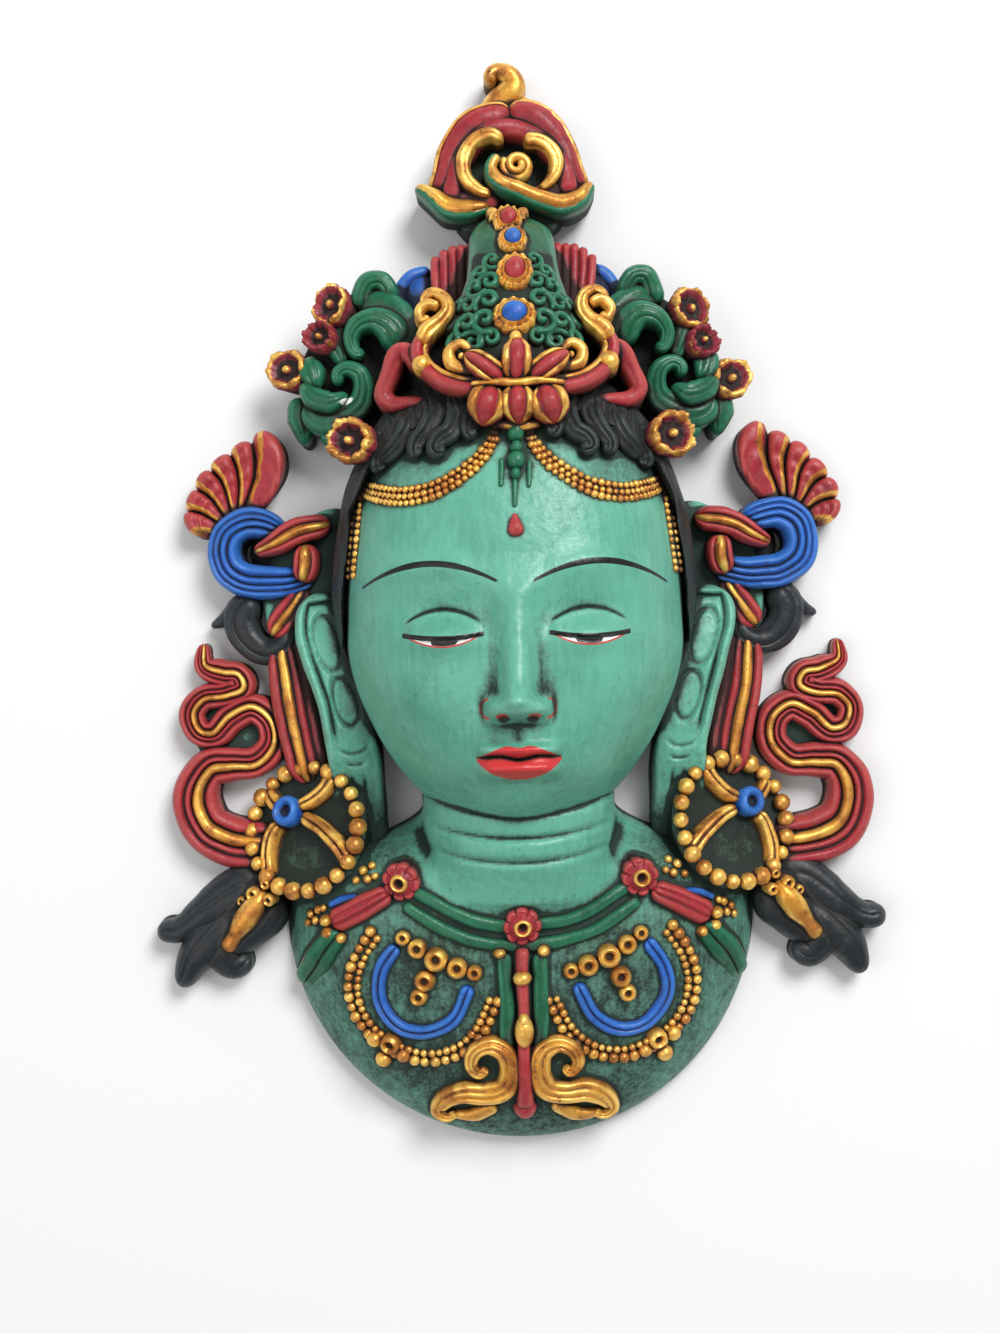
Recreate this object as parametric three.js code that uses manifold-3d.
// Deity face mask, one painted cast. It lies on its flat back: the face looks up along +Z,
// the crown points along +Y and +X is the viewer's right. All sizes are millimetres.
import * as THREE from "three";
import { mergeVertices } from "three/addons/utils/BufferGeometryUtils.js";
import Module from "manifold-3d";

const wasm = await Module();
wasm.setup();

// Head: a rounded dome, wider at the temples and narrower at the jaw
const HEAD_CENTRE_Y = -8;
const HEAD_RISE = 84;
const HEAD_DROP = 62;
const HEAD_HALF_WIDTH = 52.5;
const HEAD_BASE_Z = 12;
const HEAD_DEPTH = 56;
const HEAD_POWER = 2.4;
const JAW_NARROWING = 0.14;

// Face landmarks: hairline, brow, nose and chin stand a third of the face apart,
// and the face is five eyes wide
const BROW_Y = 3;
const EYE_Y = -9;
const NOSE_BASE_Y = -35;
const MOUTH_Y = -46.5;
const CHIN_Y = -63;
const EYE_X = 21;

// Hair stands this far off the head inside the hairline and dips under the skin outside it
const HAIR_THICKNESS = 3;
const HAIR_SINK = 5;
const HAIR_OVERHANG = 4.5;
const HAIRLINE = [[0, 51], [20, 52], [34, 46], [43, 38], [49, 26], [51.5, 5], [53, -14], [70, -16]];

// Chest: a shallow dome on a round outline, cut off at the shoulder line
const CHEST_CENTRE_Y = -96;
const CHEST_RADIUS = 74.6;
const CHEST_HEIGHT = 30;
const CHEST_POWER = 2.2;
const SHOULDER_Y = -75;

// Open back
const WALL = 10;
const HOLLOW_POWER = 2.4;
const BASE_SINK = 4;

// Lotus, fans and wheels
const LOTUS_Z = 62;
const PETAL_DEPTH = 8;
const RIBS = 4;
const RIB_PITCH = 4.1;
const FAN_PIVOT = [85.7, 24];
const FAN_HUB_RADIUS = 7;
const FAN_CREST = 13;
const FAN_FOLD = 9;
const WHEEL_AT = [67, -70, 17];
const WHEEL_LEAN = [0.55, 0.3];
const WHEEL_SIDES = 12;
const SPOKES = 4;
const SPOKE_TURN = 0.6;

const lerp = THREE.MathUtils.lerp;
const smoothstep = THREE.MathUtils.smoothstep;
const bump = (u, v) => Math.exp(-(u * u + v * v));

// Reads a value off a table of [position, value] rows
function table(rows, at) {
  if (at <= rows[0][0]) return rows[0][1];
  for (let i = 1; i < rows.length; i += 1) {
    const [x1, y1] = rows[i];
    const [x0, y0] = rows[i - 1];
    if (at <= x1) return lerp(y0, y1, (at - x0) / (x1 - x0));
  }
  return rows[rows.length - 1][1];
}

// Height of the carved features over the plain head
function faceRelief(x, y) {
  const side = Math.abs(x);
  const browLine = BROW_Y + 5 - Math.pow((side - 24) / 9.5, 2);
  const brow = 1.3 * bump((side - 24) / 19, (y - browLine) / 4);
  const socket = -4.2 * bump((side - EYE_X + 2) / 11, (y - EYE_Y - 3) / 6.5);
  const eyeball = 4.4 * bump((side - EYE_X) / 9.5, (y - EYE_Y + 1.5) / 5.2);
  const bridge = table([[-36, 0], [-33, 12.5], [-29, 12], [-12, 5.5], [0, 2.6], [12, 0]], y);
  const bridgeWidth = table([[-33, 5.4], [-24, 5], [-10, 4.2], [2, 6]], y);
  const nose = bridge * bump(x / bridgeWidth, 0);
  const wings = 5.5 * bump((side - 6.6) / 3, (y - NOSE_BASE_Y - 3) / 3.2);
  const muzzle = 4.5 * bump(x / 17, (y - MOUTH_Y) / 12);
  const mouthEnd = smoothstep(15 - side, 0, 6);
  const upperLip = 2.6 * mouthEnd * bump(0, (y - MOUTH_Y - 2.8) / 2.2);
  const lowerLip = 3.4 * mouthEnd * bump(0, (y - MOUTH_Y + 3.6) / 2.8);
  const chin = 5 * bump(x / 11, (y - CHIN_Y) / 7);
  const cheeks = 2.2 * bump((side - 29) / 12, (y + 27) / 13);
  return brow + socket + eyeball + nose + wings + muzzle + upperLip + lowerLip + chin + cheeks;
}

function headHalfWidth(y) {
  return HEAD_HALF_WIDTH * (1 - JAW_NARROWING * smoothstep(-y, 12, 62));
}

function headReach(y) {
  return y > HEAD_CENTRE_Y ? HEAD_RISE : HEAD_DROP;
}

// Height of the plain head at a point, without the carved features
function headHeight(x, y) {
  const across = Math.abs(x / headHalfWidth(y));
  const along = Math.abs((y - HEAD_CENTRE_Y) / headReach(y));
  const left = 1 - Math.pow(across, HEAD_POWER) - Math.pow(along, HEAD_POWER);
  return HEAD_BASE_Z + HEAD_DEPTH * Math.pow(Math.max(left, 0), 1 / HEAD_POWER);
}

function chestHeight(x, y) {
  const out = Math.hypot(x, y - CHEST_CENTRE_Y) / CHEST_RADIUS;
  return CHEST_HEIGHT * Math.pow(Math.max(1 - Math.pow(out, CHEST_POWER), 0), 1 / CHEST_POWER);
}

// One inside the hairline and zero outside it
function hairCover(x, y) {
  const line = table(HAIRLINE, Math.abs(x));
  return smoothstep(y - line, -1.5, 1.5);
}

// Closes a geometry into a solid
function solid(geometry) {
  geometry.deleteAttribute("normal");
  geometry.deleteAttribute("uv");
  const merged = mergeVertices(geometry, 1e-4);
  return new wasm.Manifold(new wasm.Mesh({
    numProp: 3,
    vertProperties: new Float32Array(merged.attributes.position.array),
    triVerts: new Uint32Array(merged.index.array),
  }));
}

function moveVertices(geometry, move) {
  const position = geometry.attributes.position;
  const vertex = new THREE.Vector3();
  for (let i = 0; i < position.count; i += 1) {
    vertex.fromBufferAttribute(position, i);
    move(vertex);
    position.setXYZ(i, vertex.x, vertex.y, vertex.z);
  }
  return geometry;
}

// A band along a path. Its flat sides run down to the back plane when it is grounded,
// and otherwise its section is an oval of the given half width and height.
function band({ points, halfWidths, height, sides = 4, steps, grounded = false, side = 1 }) {
  const path = new THREE.CatmullRomCurve3(
    points.map(([x, y, z]) => new THREE.Vector3(side * x, y, z)), false, "centripetal");
  const stops = halfWidths.map((width, i) => [i / (halfWidths.length - 1), width]);
  const widest = Math.max(...halfWidths);
  const up = new THREE.Vector3(0, 0, 1);
  const rings = Array.from({ length: steps + 1 }, (_, i) => {
    const share = i / steps;
    const across = new THREE.Vector3().crossVectors(up, path.getTangentAt(share)).normalize();
    return { point: path.getPointAt(share), across, halfWidth: table(stops, share) };
  });
  const geometry = new THREE.CylinderGeometry(1, 1, 1, sides, steps);
  return solid(moveVertices(geometry, (v) => {
    const { point, across, halfWidth } = rings[Math.round((0.5 - v.y) * steps)];
    const thickness = height * Math.min(1, halfWidth / widest + 0.25);
    const sunk = grounded && v.z < -0.1;
    const edge = sunk && Math.abs(v.x) > 0.1 ? Math.sign(v.x) : v.x;
    const z = sunk ? -BASE_SINK : point.z + v.z * thickness;
    v.copy(point).addScaledVector(across, halfWidth * edge).setZ(z);
  }));
}

// A band whose walls run down to the back plane
function wall(options) {
  return band({ sides: 5, grounded: true, ...options });
}

// An oval lump, turned about Z
function lump({ at, radii, turn = 0, around = 6, rows = 4, side = 1 }) {
  const geometry = new THREE.SphereGeometry(1, around, rows);
  geometry.scale(...radii);
  geometry.rotateZ(side * turn);
  geometry.translate(side * at[0], at[1], at[2]);
  return solid(geometry);
}

// A turned disc whose axis leans from +Z in the given direction
function turned({ profile, at, lean, around, side = 1, stretch = [1, 1] }) {
  const points = profile.map(([radius, z]) => new THREE.Vector2(radius, z));
  const geometry = new THREE.LatheGeometry(points, around);
  geometry.rotateX(Math.PI / 2);
  geometry.scale(stretch[0], stretch[1], 1);
  const axis = new THREE.Vector3(side * lean[0], lean[1], 1).normalize();
  const turn = new THREE.Quaternion().setFromUnitVectors(new THREE.Vector3(0, 0, 1), axis);
  geometry.applyQuaternion(turn);
  geometry.translate(side * at[0], at[1], at[2]);
  return solid(geometry);
}

// A flat plate with a smooth outline, from the back plane up
function plate({ outline, top, divisions = 16, side = 1 }) {
  const curve = new THREE.CatmullRomCurve3(
    outline.map(([x, y]) => new THREE.Vector3(side * x, y, 0)), true, "centripetal");
  const rim = curve.getPoints(divisions).slice(0, -1);
  const shape = new THREE.Shape(rim.map((p) => new THREE.Vector2(p.x, p.y)));
  const geometry = new THREE.ExtrudeGeometry(shape, { depth: top + BASE_SINK, bevelEnabled: false });
  return solid(geometry.translate(0, 0, -BASE_SINK));
}

// The dome of the head or the hair on a grid: columns are shares of the half width at each row's y
function headDome({ columns, rows, widen, relief }) {
  const grid = new THREE.BoxGeometry(1, 1, 1, columns.length - 1, rows.length - 1, 1);
  return solid(moveVertices(grid, (v) => {
    const share = columns[Math.round((v.x + 0.5) * (columns.length - 1))];
    const y = rows[Math.round((v.y + 0.5) * (rows.length - 1))];
    const along = Math.pow(Math.abs((y - HEAD_CENTRE_Y) / headReach(y)), HEAD_POWER);
    const x = share * (headHalfWidth(y) + widen) * Math.pow(1 - along, 1 / HEAD_POWER);
    const across = 1 - Math.pow(Math.abs(share), HEAD_POWER);
    const plain = HEAD_BASE_Z + HEAD_DEPTH * Math.pow((1 - along) * across, 1 / HEAD_POWER);
    const front = smoothstep(1 - Math.abs(share), 0, 0.12);
    v.set(x, y, v.z > 0 ? plain + front * relief(x, y) : -BASE_SINK);
  }));
}

// The upper half of a rounded hollow that opens at the back plane
function hollowDome({ at, radii, around, rows }) {
  const sphere = new THREE.SphereGeometry(1, around, rows).rotateX(Math.PI / 2);
  return solid(moveVertices(sphere, (v) => {
    const norm = [v.x, v.y, v.z].reduce((sum, part) => sum + Math.pow(Math.abs(part), HOLLOW_POWER), 0);
    const scale = Math.pow(norm, -1 / HOLLOW_POWER);
    v.set(at[0] + v.x * scale * radii[0], at[1] + v.y * scale * radii[1], v.z * scale * radii[2]);
  }));
}

// Lifts a flat route onto the chest or the head
const overChest = (route) => route.map(([x, y]) => [x, y, chestHeight(x, y)]);
const overHead = (route, lift) => route.map(([x, y]) => [x, y, headHeight(x, y) + lift]);

const pieces = [];
const both = (make) => pieces.push(make(-1), make(1));

// Head and hair
const mirrored = (shares) => [...shares.slice(1).reverse().map((share) => -share), ...shares];
const FACE_COLUMNS = mirrored([0, 0.07, 0.14, 0.24, 0.4, 0.56, 0.74, 0.9, 1]);
const FACE_ROWS = [-69.5, -66, -61, -56.5, -52.5, -50, -47.2, -44, -40, -36.5, -33, -28, -20, -13, -9, -4,
  3, 9, 20, 36, 52, 75];
const HAIR_COLUMNS = mirrored([0, 0.35, 0.65, 0.88, 1]);
const HAIR_ROWS = [-24, -14, 22, 37, 46, 52, 62, 75];
pieces.push(headDome({ columns: FACE_COLUMNS, rows: FACE_ROWS, widen: 0, relief: faceRelief }));
pieces.push(headDome({
  columns: HAIR_COLUMNS,
  rows: HAIR_ROWS,
  widen: HAIR_OVERHANG,
  relief: (x, y) => lerp(-HAIR_SINK, HAIR_THICKNESS, hairCover(x, y)),
}));

// Neck
pieces.push(wall({
  points: [[0, -48, 22], [0, -62, 22], [0, -76, 20], [0, -92, 15], [0, -104, 4]],
  halfWidths: [30, 31, 28, 31, 42],
  height: 22,
  sides: 9,
  steps: 5,
}));

// Chest with its shoulder line
const chest = moveVertices(new THREE.SphereGeometry(1, 20, 6).rotateX(Math.PI / 2), (v) => {
  const x = v.x * CHEST_RADIUS;
  const y = CHEST_CENTRE_Y + v.y * CHEST_RADIUS;
  v.set(x, y, v.z > 0 ? chestHeight(x, y) : v.z * CHEST_HEIGHT);
});
const aboveShoulders = new THREE.BoxGeometry(200, 100, 100).translate(0, SHOULDER_Y + 50, 0);
pieces.push(solid(chest).subtract(solid(aboveShoulders)));

// Ears, and the webs that join the side ornaments to the head
both((side) => wall({
  points: [[59, 3, 14], [60, -12, 19], [58, -30, 21], [53, -50, 20], [47, -66, 18], [43, -76, 15]],
  halfWidths: [7, 9.5, 9.5, 8.5, 6, 3],
  height: 4,
  steps: 5,
  side,
}));
both((side) => plate({
  outline: [[48, 34], [57, 30], [64, 24], [84, 22], [90, 8], [84, -8], [70, -16], [62, -50], [50, -40],
    [46, 0]],
  top: 10,
  side,
}));

// Topknot with its flare, and the crown base that carries the arms
pieces.push(wall({
  points: [[1, 62, 52], [1, 78, 48], [1.5, 92, 42], [1.5, 106, 34], [1.5, 116, 22]],
  halfWidths: [24, 20, 15.5, 13, 12],
  height: 11,
  sides: 8,
  steps: 5,
}));
pieces.push(lump({ at: [0, 68, 20], radii: [34, 24, 32], around: 8 }));

// Finial: a plate with a rim arch, a scroll arch, a ribbon with two horns, a boss and a hook on top
pieces.push(plate({
  outline: [[-28, 129], [-20, 131], [-16.5, 144.5], [-8, 151], [1, 153], [9, 153], [15.5, 147.5],
    [21, 138], [22, 130], [28, 128.5], [23, 121], [15, 117], [0, 115], [-12, 117], [-24, 122]],
  top: 18,
}));
pieces.push(band({
  points: [[-19.5, 130, 18], [-17.5, 139, 19], [-11.5, 147, 20], [0, 151, 20], [9, 150.5, 20], [16, 143, 19],
    [20, 131, 18]],
  halfWidths: [2.2, 2.6, 2.2],
  height: 4,
  steps: 8,
}));
pieces.push(band({
  points: [[-7, 123, 19], [-11, 131, 20], [-7, 139.5, 20], [1, 141, 20], [9, 139.5, 20], [13, 131, 20],
    [9, 123, 19]],
  halfWidths: [1.8, 2.2, 1.8],
  height: 4,
  steps: 8,
}));
pieces.push(band({
  points: [[-28.4, 129, 18], [-22, 123, 19], [-12, 121, 21], [2, 122, 23], [12, 120, 21], [22, 122.5, 19],
    [28, 128.5, 18]],
  halfWidths: [0.8, 2.8, 3.6, 2.8, 0.8],
  height: 4,
  steps: 8,
}));
pieces.push(lump({ at: [1.5, 129.5, 22], radii: [5, 5, 4] }));
pieces.push(wall({
  points: [[0, 150, 10], [1.6, 157.5, 11], [4, 162.9, 11], [0.6, 167.17, 11], [-5, 165.8, 11],
    [-3.6, 162.5, 11]],
  halfWidths: [7, 5.2, 3.8, 3.6, 3],
  height: 5,
  steps: 6,
}));

// Ribbed panels and round lobes behind the topknot
const RIB_FOOT = 20;
const RIB_CREST = 22;
const PANEL_LENGTH = 28;
const PANEL_TOP_Y = 111;
const PANEL_INNER_X = 11;
both((side) => {
  const ribs = new THREE.Shape();
  ribs.moveTo(0, -BASE_SINK);
  ribs.lineTo(0, RIB_FOOT);
  for (let i = 0; i < RIBS; i += 1) {
    const left = i * RIB_PITCH;
    ribs.lineTo(left + RIB_PITCH * 0.3, RIB_CREST);
    ribs.lineTo(left + RIB_PITCH * 0.7, RIB_CREST);
    ribs.lineTo(left + RIB_PITCH, RIB_FOOT);
  }
  ribs.lineTo(RIBS * RIB_PITCH, -BASE_SINK);
  const panel = new THREE.ExtrudeGeometry(ribs, { depth: PANEL_LENGTH, bevelEnabled: false });
  panel.rotateX(Math.PI / 2);
  panel.translate(side > 0 ? PANEL_INNER_X : -PANEL_INNER_X - RIBS * RIB_PITCH, PANEL_TOP_Y, 0);
  return solid(panel);
});
both((side) => lump({ at: [28, 95, 8], radii: [8, 12, 9], around: 8, side }));

// Lotus at the front of the crown: three petals over three
const upperPetals = [[1, 68, 3.8, 7.5, 0], [-8.5, 66, 3.4, 6.5, 0.6], [10, 66, 3.4, 6.5, -0.6]];
const lowerPetals = [[0.5, 54.5, 5, 7, 0], [-9, 55, 5, 7.5, -0.35], [10, 54.5, 5, 7.5, 0.35]];
for (const [x, y, wide, long, turn] of [...upperPetals, ...lowerPetals]) {
  pieces.push(lump({ at: [x, y, LOTUS_Z], radii: [wide, long, PETAL_DEPTH], turn }));
}

// Crown arms with their curled ends
both((side) => band({
  points: [[8, 60.5, 62], [16, 61, 61], [23, 63.5, 57], [28.3, 68, 54], [29.4, 74.5, 52], [25.5, 81.5, 51],
    [22, 86.5, 50], [23.5, 91, 48], [27, 90, 47]],
  halfWidths: [3.6, 3.6, 3.4, 3, 2.6, 1.8],
  height: 5,
  steps: 8,
  side,
}));

// Open loops beside the crown
both((side) => band({
  points: [[26, 58, 44], [28, 66, 44], [33, 75.5, 42], [38, 69, 40], [40, 60, 38], [33, 58, 42]],
  halfWidths: [2.2, 2.4, 2.6, 2.4, 2.2],
  height: 3,
  steps: 6,
  side,
}));

// Jewel column on the topknot
const jewels = [[0, 113.8, 38, 4], [1.6, 106.3, 43, 4.2], [2, 95, 49, 5.4], [1.2, 80.5, 57, 6.2]];
for (const [x, y, z, radius] of jewels) {
  pieces.push(lump({ at: [x, y, z], radii: [radius, radius * 1.15, 4] }));
}

// Leaf bunches: a body with rolled leaves on it
both((side) => plate({
  outline: [[29, 58], [30, 86], [38, 97], [44, 100], [50, 95], [58, 90], [66, 78], [66, 66], [62.5, 51],
    [54, 56], [44, 53], [36, 52]],
  top: 20,
  side,
}));
const leaves = [
  {
    points: [[30, 80, 26], [35, 87, 25], [40.5, 92, 24], [41, 98, 21], [45, 100, 20], [47.5, 96.5, 20]],
    halfWidths: [5, 4.6, 4, 3, 2.4],
  },
  {
    points: [[56, 78, 22], [62, 68, 22], [60, 59, 22], [52, 56.5, 23], [44.5, 60.5, 24], [44, 68, 24],
      [49, 68.5, 24]],
    halfWidths: [3, 4.5, 4.8, 4.2, 3, 2],
  },
];
for (const leaf of leaves) {
  both((side) => band({ ...leaf, height: 6, steps: 4, side }));
}

// Flowers on the leaves and rosettes on the hair: shallow cups on a long stem
const flowerProfile = [[0, -12], [1, -12], [1, 1.2], [0, -0.6]];
const FLOWER_LEAN = [0.45, 0.2];
const flowers = [
  [-53, 92, 24, 6, 5], [-58, 82.2, 25, 5, 5], [-68.5, 73, 20, 6.4, 6.6],
  [55.4, 88.8, 24, 6, 5], [59.5, 78.3, 25, 5, 5], [68.7, 67.7, 20, 6.2, 7],
];
for (const [x, y, z, wide, long] of flowers) {
  const lean = [FLOWER_LEAN[0] * Math.sign(x), FLOWER_LEAN[1]];
  pieces.push(turned({ profile: flowerProfile, at: [x, y, z], lean, around: 6, stretch: [wide, long] }));
}
both((side) => turned({
  profile: flowerProfile,
  at: [47.3, 47.6, 42],
  lean: [0.5, 0.15],
  around: 7,
  stretch: [6.6, 8.4],
  side,
}));

// Locks of hair over the forehead
both((side) => band({
  points: overHead([[22, 57], [20, 50], [23, 44.5], [19, 43]], HAIR_THICKNESS),
  halfWidths: [3, 2.8, 2.2],
  height: 2.4,
  steps: 3,
  side,
}));

// Bead swags on the forehead
const swag = [[4.5, 46.7], [8, 40.7], [14, 35.2], [22, 30.7], [31, 29.2], [40, 31.2], [45.5, 34.7]];
both((side) => band({
  points: overHead(swag, 0),
  halfWidths: [3.4, 3.4],
  height: 2.8,
  steps: 6,
  side,
}));

// Drop pendant on the forehead, and the drop between the brows
for (const [middle, halfWidth, halfLength] of [[38, 3, 9], [17.5, 2.7, 4.6]]) {
  pieces.push(lump({
    at: [0.5, middle, headHeight(0, middle) + 0.8],
    radii: [halfWidth, halfLength, 2.4],
  }));
}

// Pleated fans: folds and crests by turns about the pivot, as heading in degrees and reach
const FAN_STATIONS = [[129, 16], [108, 31.5], [98, 28.5], [91, 28], [83, 24.6], [75, 24.2], [65, 21.4],
  [55, 21.2], [44, 19], [33, 19.6], [22, 17.8], [10, 17], [-6, 12]];
both((side) => {
  const last = FAN_STATIONS.length - 1;
  const sheet = new THREE.BoxGeometry(1, 1, 1, last, 1, 2);
  return solid(moveVertices(sheet, (v) => {
    const station = Math.round((0.5 - side * v.x) * last);
    const [heading, reach] = FAN_STATIONS[station];
    const out = lerp(FAN_HUB_RADIUS, reach, v.z + 0.5);
    const angle = THREE.MathUtils.degToRad(heading);
    const crest = station % 2 === 1 ? FAN_CREST : FAN_FOLD;
    const x = side * (FAN_PIVOT[0] + out * Math.cos(angle));
    v.set(x, FAN_PIVOT[1] + out * Math.sin(angle), v.y > 0 ? crest : -BASE_SINK);
  }));
});

// Round knots with their twists
both((side) => wall({
  points: [[66, 14, 12], [74, 8, 12], [84, 6.5, 12], [91.3, 11.5, 12], [91.8, 20, 12], [86, 26.8, 12],
    [77, 26, 12], [73, 22, 12]],
  halfWidths: [4, 4.6, 5.2, 5.2, 5, 4],
  height: 6,
  steps: 10,
  side,
}));
both((side) => band({
  points: [[80.5, 18.5, 12], [74, 19.5, 13], [66, 23.5, 12], [59, 25.5, 12]],
  halfWidths: [1.5, 3, 3.6, 3],
  height: 5,
  steps: 4,
  side,
}));

// Dark tendrils under the knots
both((side) => wall({
  points: [[84, 4, 10], [88, -4, 10], [84.5, -11.5, 10], [77.5, -14, 10], [71.5, -10, 11], [72.5, -4.5, 11]],
  halfWidths: [3, 4.4, 4.2, 3.8, 3, 2.4],
  height: 4.5,
  steps: 7,
  side,
}));
both((side) => wall({
  points: [[84, 2, 8], [90, -2.5, 8], [96.5, -5.2, 7]],
  halfWidths: [3.6, 3, 1],
  height: 3.5,
  steps: 3,
  side,
}));

// Straps beside the ears
both((side) => wall({
  points: [[72.6, -11, 10], [71.8, -24, 11], [69.5, -38, 12], [65.5, -54, 12]],
  halfWidths: [5, 5.4, 5.8, 6],
  height: 5,
  steps: 3,
  side,
}));

// Flame scrolls: one ribbon that folds back on itself and swings round to the wheel
const FLAME_Z = 8;
const FLAME_SHIFTS = { "-1": [-1.6, 1.2], "1": [1.8, -1.4] };
const flameRoute = [[100.5, -12], [100.5, -19], [94.5, -21.8], [89.6, -22.8], [88.4, -26], [93.4, -28.4],
  [100.4, -29.4], [104.2, -34], [102.2, -40], [97.4, -41], [91.6, -35.8], [85.3, -32.8], [79.8, -36.6],
  [79, -44], [84.4, -49.6], [92.5, -50.4], [98.8, -51.4], [102.6, -56], [103.6, -63], [100.6, -70.5],
  [94, -74.5], [86, -76], [78, -76]];
both((side) => wall({
  points: flameRoute.map(([x, y]) => [x + FLAME_SHIFTS[side][0], y + FLAME_SHIFTS[side][1], FLAME_Z]),
  halfWidths: [1.8, 3.4, 3.4, 3.4, 3.5, 3.6, 3.7, 3.8, 4.2, 5.6, 6.8, 7, 7, 6.5],
  height: 4.5,
  steps: 21,
  side,
}));
both((side) => plate({
  outline: [[88, -24], [100, -26], [104, -36], [98, -46], [86, -50], [77, -44], [80, -33]],
  top: 7,
  divisions: 9,
  side,
}));

// Wheels: a raised ring, hub and spokes over a closed dish, all leaning outwards
const wheelProfile = [[0, -30], [16, -30], [22, 0], [19.5, 2.4], [15, -2.5], [0, -2.5]];
const hubProfile = [[0, -6], [6, -6], [4.6, 5], [0, 4]];
function onWheel(radius, angle, rise, side) {
  const axis = new THREE.Vector3(side * WHEEL_LEAN[0], WHEEL_LEAN[1], 1).normalize();
  const turn = new THREE.Quaternion().setFromUnitVectors(new THREE.Vector3(0, 0, 1), axis);
  const centre = new THREE.Vector3(side * WHEEL_AT[0], WHEEL_AT[1], WHEEL_AT[2]);
  const point = new THREE.Vector3(radius * Math.cos(angle), radius * Math.sin(angle), rise);
  return point.applyQuaternion(turn).add(centre).toArray();
}
both((side) => turned({ profile: wheelProfile, at: WHEEL_AT, lean: WHEEL_LEAN, around: WHEEL_SIDES, side }));
both((side) => turned({ profile: hubProfile, at: WHEEL_AT, lean: WHEEL_LEAN, around: 6, side }));
for (let i = 0; i < SPOKES; i += 1) {
  const angle = SPOKE_TURN + (i * 2 * Math.PI) / SPOKES;
  both((side) => band({
    points: [onWheel(3, angle, 1.5, side), onWheel(19, angle, -1, side)],
    halfWidths: [2.4, 2.8],
    height: 2.4,
    steps: 1,
  }));
}

// Drops below the wheels
both((side) => wall({
  points: [[80.5, -88, 14], [84, -93, 14], [88.5, -100.5, 13], [93, -106, 11]],
  halfWidths: [4, 3.6, 2.8, 1.6],
  height: 4,
  steps: 3,
  side,
}));

// Dark tendrils at the shoulders
const shoulderTendrils = [
  {
    points: [[80, -88], [92, -91], [102, -97.5], [110, -101.8], [116.4, -101]],
    halfWidths: [6, 7.5, 6.5, 3.8, 3.6],
  },
  {
    points: [[86, -95], [97, -103], [104.5, -111], [108.4, -120.4]],
    halfWidths: [7, 7, 5.5, 1.6],
  },
  {
    points: [[76, -90], [86, -98], [93.5, -107], [90, -112.5], [85.5, -109]],
    halfWidths: [7, 8.5, 7, 4.5, 3],
  },
];
const TENDRIL_Z = 9;
for (const { points, halfWidths } of shoulderTendrils) {
  both((side) => wall({
    points: points.map(([x, y]) => [x, y, TENDRIL_Z]),
    halfWidths,
    height: 4.5,
    steps: 4,
    side,
  }));
}

// Collar band
const collar = [[-34.5, -90.5], [-22, -98.5], [-9, -101.5], [9, -101.5], [22, -98.5], [34.5, -90.5]];
const COLLAR_Z = 32;
const COLLAR_FALL = 0.005;
pieces.push(band({
  points: collar.map(([x, y]) => [x, y, COLLAR_Z - COLLAR_FALL * x * x]),
  halfWidths: [3.4, 3.4],
  height: 3,
  steps: 5,
}));

// Rosettes at the middle and the ends of the collar
const rosetteProfile = [[0, -5], [5.4, -5], [5.4, 0.5], [2.4, 2.6], [0, 3]];
for (const [x, y] of [[-36.5, -85], [36.5, -85], [0, -99]]) {
  const at = [x, y, chestHeight(x, y) + 3];
  pieces.push(turned({ profile: rosetteProfile, at, lean: [x * 0.006, -0.15], around: 6 }));
}

// Shoulder straps
both((side) => band({
  points: overChest([[40, -88], [49, -93], [59.5, -97.6]]),
  halfWidths: [2.2, 2.8, 3.4],
  height: 3.5,
  steps: 2,
  side,
}));
both((side) => band({
  points: overChest([[58.5, -100], [64, -108], [69, -119]]),
  halfWidths: [3, 5, 3.4],
  height: 3.5,
  steps: 3,
  side,
}));

// Breast ornaments: bead arcs and open loops, laid on the chest
const beadArc = [[45.3, -101.8], [50.5, -110], [52.4, -119], [50, -128], [43, -135.5], [31, -140],
  [21, -138], [14, -132], [9, -122]];
const openLoop = [[38.2, -105.2], [43.8, -113.5], [43.7, -123], [37, -131], [29, -131.8], [21, -127],
  [16.3, -117]];
both((side) => band({ points: overChest(beadArc), halfWidths: [3.4, 3.4], height: 2.6, steps: 6, side }));
both((side) => band({ points: overChest(openLoop), halfWidths: [2.4, 2.4], height: 2, steps: 5, side }));

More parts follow.
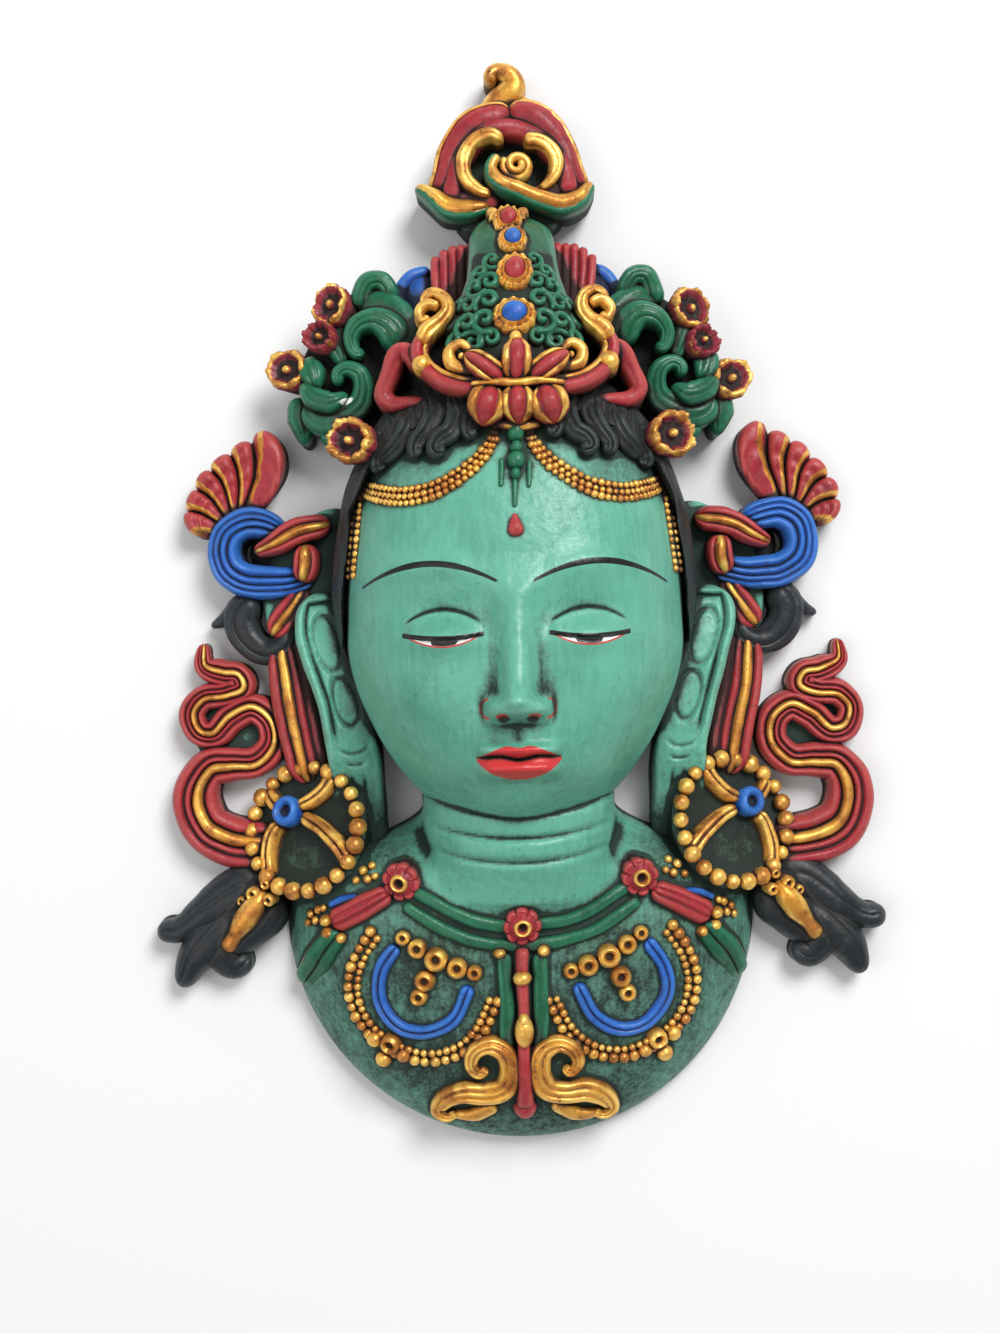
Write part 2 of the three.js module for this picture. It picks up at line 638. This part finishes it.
// Centre rod with its knot and bell
const rod = [[0, -104], [0, -130], [0, -158]];
pieces.push(band({ points: overChest(rod), halfWidths: [2.4, 2.4], height: 6, steps: 4 }));
pieces.push(lump({ at: [0, -131, chestHeight(0, -131) + 3], radii: [3.4, 4.6, 4] }));
pieces.push(lump({ at: [0, -156, chestHeight(0, -156) + 2], radii: [3.4, 3.4, 4] }));

// Scrolls at the foot
const footScroll = [[14, -148], [10, -144.5], [14.5, -141.5], [17.5, -147], [11.5, -153], [8.5, -157],
  [17, -156.5], [25, -155], [31, -158]];
both((side) => band({ points: overChest(footScroll), halfWidths: [3, 3], height: 4, steps: 7, side }));

// Joining
let mask = pieces.reduce((sum, piece) => sum.add(piece));

// Hollowing from behind: head, topknot, neck and chest open into each other
const headMiddleY = HEAD_CENTRE_Y + (HEAD_RISE - HEAD_DROP) / 2;
const headHalfLength = (HEAD_RISE + HEAD_DROP) / 2;
const hollows = [
  {
    at: [0, headMiddleY],
    radii: [HEAD_HALF_WIDTH - WALL, headHalfLength - WALL, HEAD_BASE_Z + HEAD_DEPTH - WALL],
    around: 14,
    rows: 8,
  },
  { at: [1, 84], radii: [12, 30, 26], around: 10, rows: 6 },
  { at: [0, -72], radii: [21, 34, 26], around: 10, rows: 6 },
  { at: [0, -112], radii: [50, 42, CHEST_HEIGHT - WALL], around: 12, rows: 6 },
];
for (const hollow of hollows) {
  mask = mask.subtract(hollowDome(hollow));
}

// Trimming at the back plane
const TRIM_DEPTH = 120;
const behind = new THREE.BoxGeometry(400, 500, TRIM_DEPTH).translate(0, 0, -TRIM_DEPTH / 2);
mask = mask.subtract(solid(behind));

const { vertProperties, triVerts } = mask.getMesh();
const geometry = new THREE.BufferGeometry();
geometry.setAttribute("position", new THREE.BufferAttribute(new Float32Array(vertProperties), 3));
geometry.setIndex(new THREE.BufferAttribute(new Uint32Array(triVerts), 1));
geometry.computeVertexNormals();

const paint = new THREE.MeshStandardMaterial({ color: 0x3f8f77, roughness: 0.55, metalness: 0 });
const maskMesh = new THREE.Mesh(geometry, paint);
maskMesh.name = "mask";

const group = new THREE.Group();
group.add(maskMesh);

export default group;
